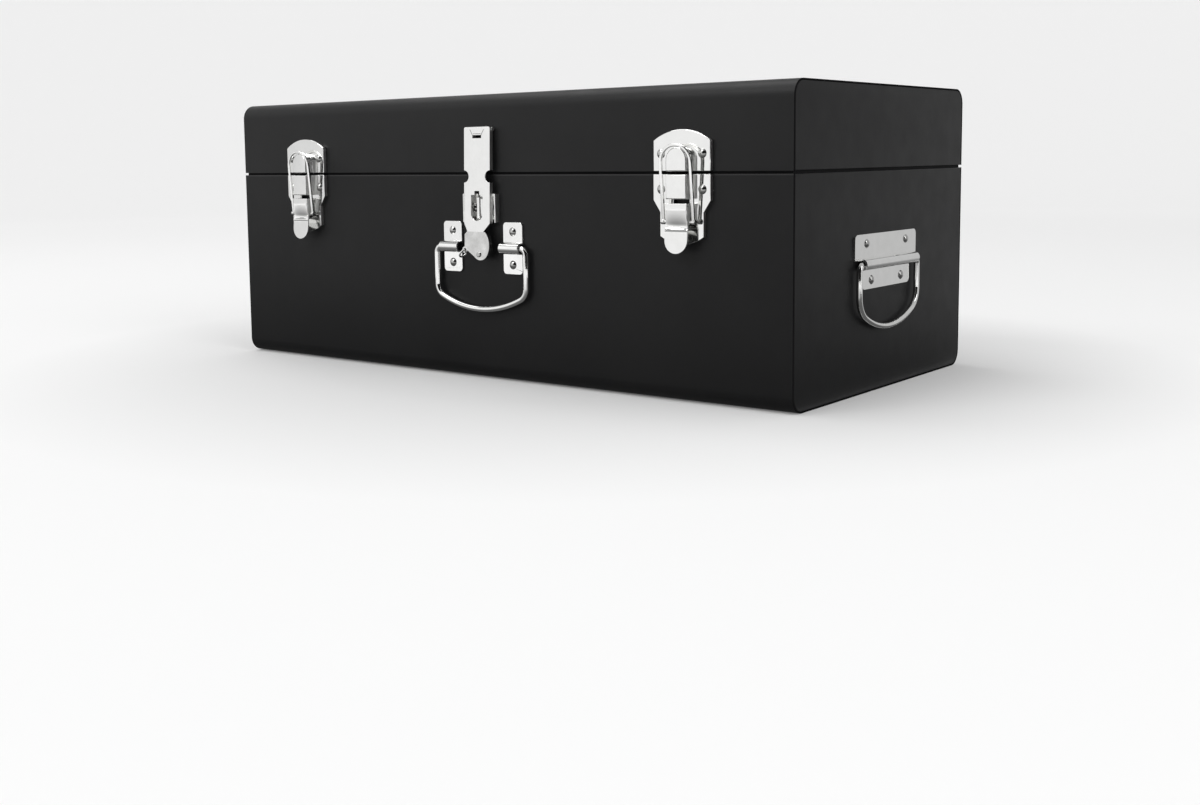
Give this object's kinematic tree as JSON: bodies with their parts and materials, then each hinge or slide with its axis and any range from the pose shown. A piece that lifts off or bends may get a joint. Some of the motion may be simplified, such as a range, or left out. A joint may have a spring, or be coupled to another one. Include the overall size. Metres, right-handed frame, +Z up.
{
  "type": "metal storage trunk",
  "caption": "Small black sheet-metal trunk with a full-width hinged lid, draw latches, a hasp with a swinging strap, and wire bail handles on the front and ends.",
  "frame": {"origin": "centre of the case's underside, on the floor it stands on", "axes": "+Z up, +X towards the right end panel seen from the front, -Y towards the latches and the hasp"},
  "size_m": [0.5222, 0.2716, 0.203],
  "materials": {
    "case_paint": "satin",
    "bright_plate": "polished",
    "plain_steel": "satin"
  },
  "bodies": {
    "base": {"base_wrap": "case_paint", "base_end_left": "case_paint", "base_end_right": "case_paint", "base_lip": "case_paint", "hinge_leaf_base": "case_paint", "hinge_pin": "case_paint", "hinge_rivets_base": "case_paint", "hasp_catch_plate": "bright_plate", "hasp_catch_rivets": "bright_plate", "hasp_staple": "bright_plate", "front_bracket_left": "bright_plate", "front_bracket_right": "bright_plate", "front_handle_rivets": "bright_plate", "latch_plate_left": "bright_plate", "latch_plate_rivets_left": "bright_plate", "latch_lever_pin_left": "bright_plate", "side_plate_left": "bright_plate", "side_plate_rivets_left": "bright_plate", "stay_base_stud_left": "plain_steel", "latch_plate_right": "bright_plate", "latch_plate_rivets_right": "bright_plate", "latch_lever_pin_right": "bright_plate", "side_plate_right": "bright_plate", "side_plate_rivets_right": "bright_plate", "stay_base_stud_right": "plain_steel"},
    "lid": {"lid_wrap": "case_paint", "lid_end_left": "case_paint", "lid_end_right": "case_paint", "hinge_leaf_lid": "case_paint", "hinge_rivets_lid": "case_paint", "hasp_plate": "bright_plate", "hasp_plate_rivets": "bright_plate", "hasp_pin": "bright_plate", "latch_keeper_left": "bright_plate", "latch_keeper_rivets_left": "bright_plate", "stay_lid_stud_left": "plain_steel", "latch_keeper_right": "bright_plate", "latch_keeper_rivets_right": "bright_plate", "stay_lid_stud_right": "plain_steel"},
    "hasp_strap": {"hasp_strap": "bright_plate", "hasp_shield": "bright_plate", "hasp_shield_rivet": "bright_plate", "hasp_ring": "bright_plate"},
    "front_bail": {"front_bail": "bright_plate"},
    "latch_lever_left": {"latch_lever_left": "bright_plate", "latch_loop_pin_left": "bright_plate"},
    "latch_loop_left": {"latch_loop_left": "bright_plate"},
    "side_bail_left": {"side_bail_left": "bright_plate"},
    "stay_left": {"stay_arm_left": "plain_steel"},
    "latch_lever_right": {"latch_lever_right": "bright_plate", "latch_loop_pin_right": "bright_plate"},
    "latch_loop_right": {"latch_loop_right": "bright_plate"},
    "side_bail_right": {"side_bail_right": "bright_plate"},
    "stay_right": {"stay_arm_right": "plain_steel"}
  },
  "joints": [
    {"name": "lid_open", "type": "hinge", "parent": "base", "child": "lid", "pos_m": [0, 0.1299, 0.1471], "axis": [-1, 0, 0], "range_deg": [0, 100]},
    {"name": "hasp_strap_swing", "type": "hinge", "parent": "lid", "child": "hasp_strap", "pos_m": [0.0069, -0.1292, 0.178], "axis": [-1, 0, 0], "range_deg": [-1.5, 98]},
    {"name": "front_bail_swing", "type": "hinge", "parent": "base", "child": "front_bail", "pos_m": [0.0069, -0.1303, 0.0948], "axis": [-1, 0, 0], "range_deg": [0, 150]},
    {"name": "latch_lever_left_turn", "type": "hinge", "parent": "base", "child": "latch_lever_left", "pos_m": [-0.1764, -0.1328, 0.1258], "axis": [-1, 0, 0], "range_deg": [-8, 95]},
    {"name": "latch_loop_left_turn", "type": "hinge", "parent": "latch_lever_left", "child": "latch_loop_left", "pos_m": [-0.1764, -0.1336, 0.1163], "axis": [-1, 0, 0], "range_deg": [-142.5, 12]},
    {"name": "side_bail_left_swing", "type": "hinge", "parent": "base", "child": "side_bail_left", "pos_m": [-0.2573, -0.0015, 0.0859], "axis": [0, 1, 0], "range_deg": [0, 150]},
    {"name": "stay_left_turn", "type": "hinge", "parent": "lid", "child": "stay_left", "pos_m": [-0.247, 0.07121, 0.15957], "axis": [-1, 0, 0], "range_deg": [-50, 0]},
    {"name": "latch_lever_right_turn", "type": "hinge", "parent": "base", "child": "latch_lever_right", "pos_m": [0.1764, -0.1328, 0.1258], "axis": [-1, 0, 0], "range_deg": [-8, 95]},
    {"name": "latch_loop_right_turn", "type": "hinge", "parent": "latch_lever_right", "child": "latch_loop_right", "pos_m": [0.1764, -0.1336, 0.1163], "axis": [-1, 0, 0], "range_deg": [-142.5, 12]},
    {"name": "side_bail_right_swing", "type": "hinge", "parent": "base", "child": "side_bail_right", "pos_m": [0.2573, -0.0015, 0.0859], "axis": [0, -1, 0], "range_deg": [0, 150]},
    {"name": "stay_right_turn", "type": "hinge", "parent": "lid", "child": "stay_right", "pos_m": [0.247, 0.07121, 0.15957], "axis": [-1, 0, 0], "range_deg": [-50, 0]}
  ],
  "couplings": [
    {"joint": "latch_loop_left_turn", "follows": "latch_lever_left_turn", "ratio": -1.5},
    {"joint": "stay_left_turn", "follows": "lid_open", "ratio": -0.5},
    {"joint": "latch_loop_right_turn", "follows": "latch_lever_right_turn", "ratio": -1.5},
    {"joint": "stay_right_turn", "follows": "lid_open", "ratio": -0.5}
  ]
}
